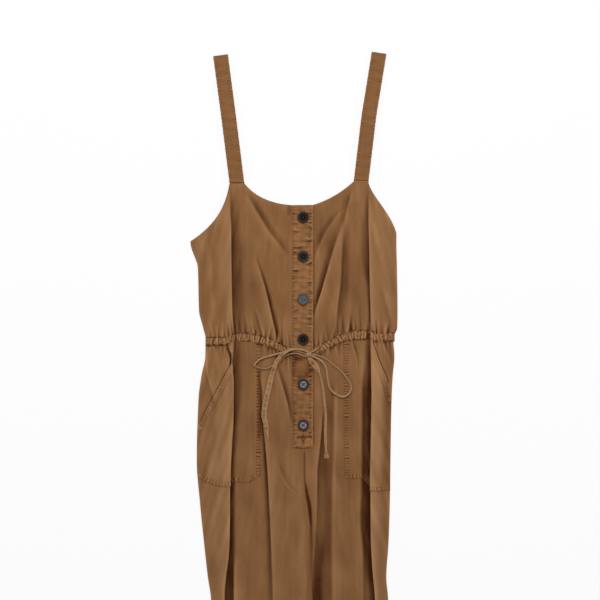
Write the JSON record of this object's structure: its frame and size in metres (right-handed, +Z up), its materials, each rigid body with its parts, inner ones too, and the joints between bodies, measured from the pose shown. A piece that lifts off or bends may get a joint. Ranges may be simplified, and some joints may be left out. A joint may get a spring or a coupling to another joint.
{
  "type": "utility jumpsuit",
  "caption": "Sleeveless utility jumpsuit laid flat, with shoulder straps, button placket, gathered waist tie and slanted patch pockets.",
  "frame": {"origin": "on the surface that the garment lies on, under the waist at the middle of the front", "axes": "+Y from the waist towards the straps, +Z up out of the front of the garment, +X towards the wearer's left side"},
  "size_m": [0.3629, 1.4679, 0.0238],
  "materials": {
    "cloth": "matt washed cotton twill, brown",
    "tie": "matt folded strip of the same cotton, slightly paler",
    "button": "satin dark slate plastic"
  },
  "bodies": {
    "root": {"front_bodice_right": "cloth", "front_bodice_left": "cloth", "front_casing_right": "cloth", "front_casing_left": "cloth", "trouser_front_right": "cloth", "trouser_front_left": "cloth", "pocket_right": "cloth", "pocket_left": "cloth", "button_placket": "cloth", "under_placket": "cloth", "strap_right": "cloth", "strap_left": "cloth", "back_bodice": "cloth", "back_casing": "cloth", "trouser_back_right": "cloth", "trouser_back_left": "cloth", "button_1": "button", "button_2": "button", "button_3": "button", "button_4": "button", "button_5": "button", "button_6": "button", "cord_stub_right": "tie", "cord_loop_right": "tie", "cord_tail_right": "tie", "cord_stub_left": "tie", "cord_loop_left": "tie", "cord_tail_left": "tie", "bow_knot": "tie"}
  },
  "joints": []
}
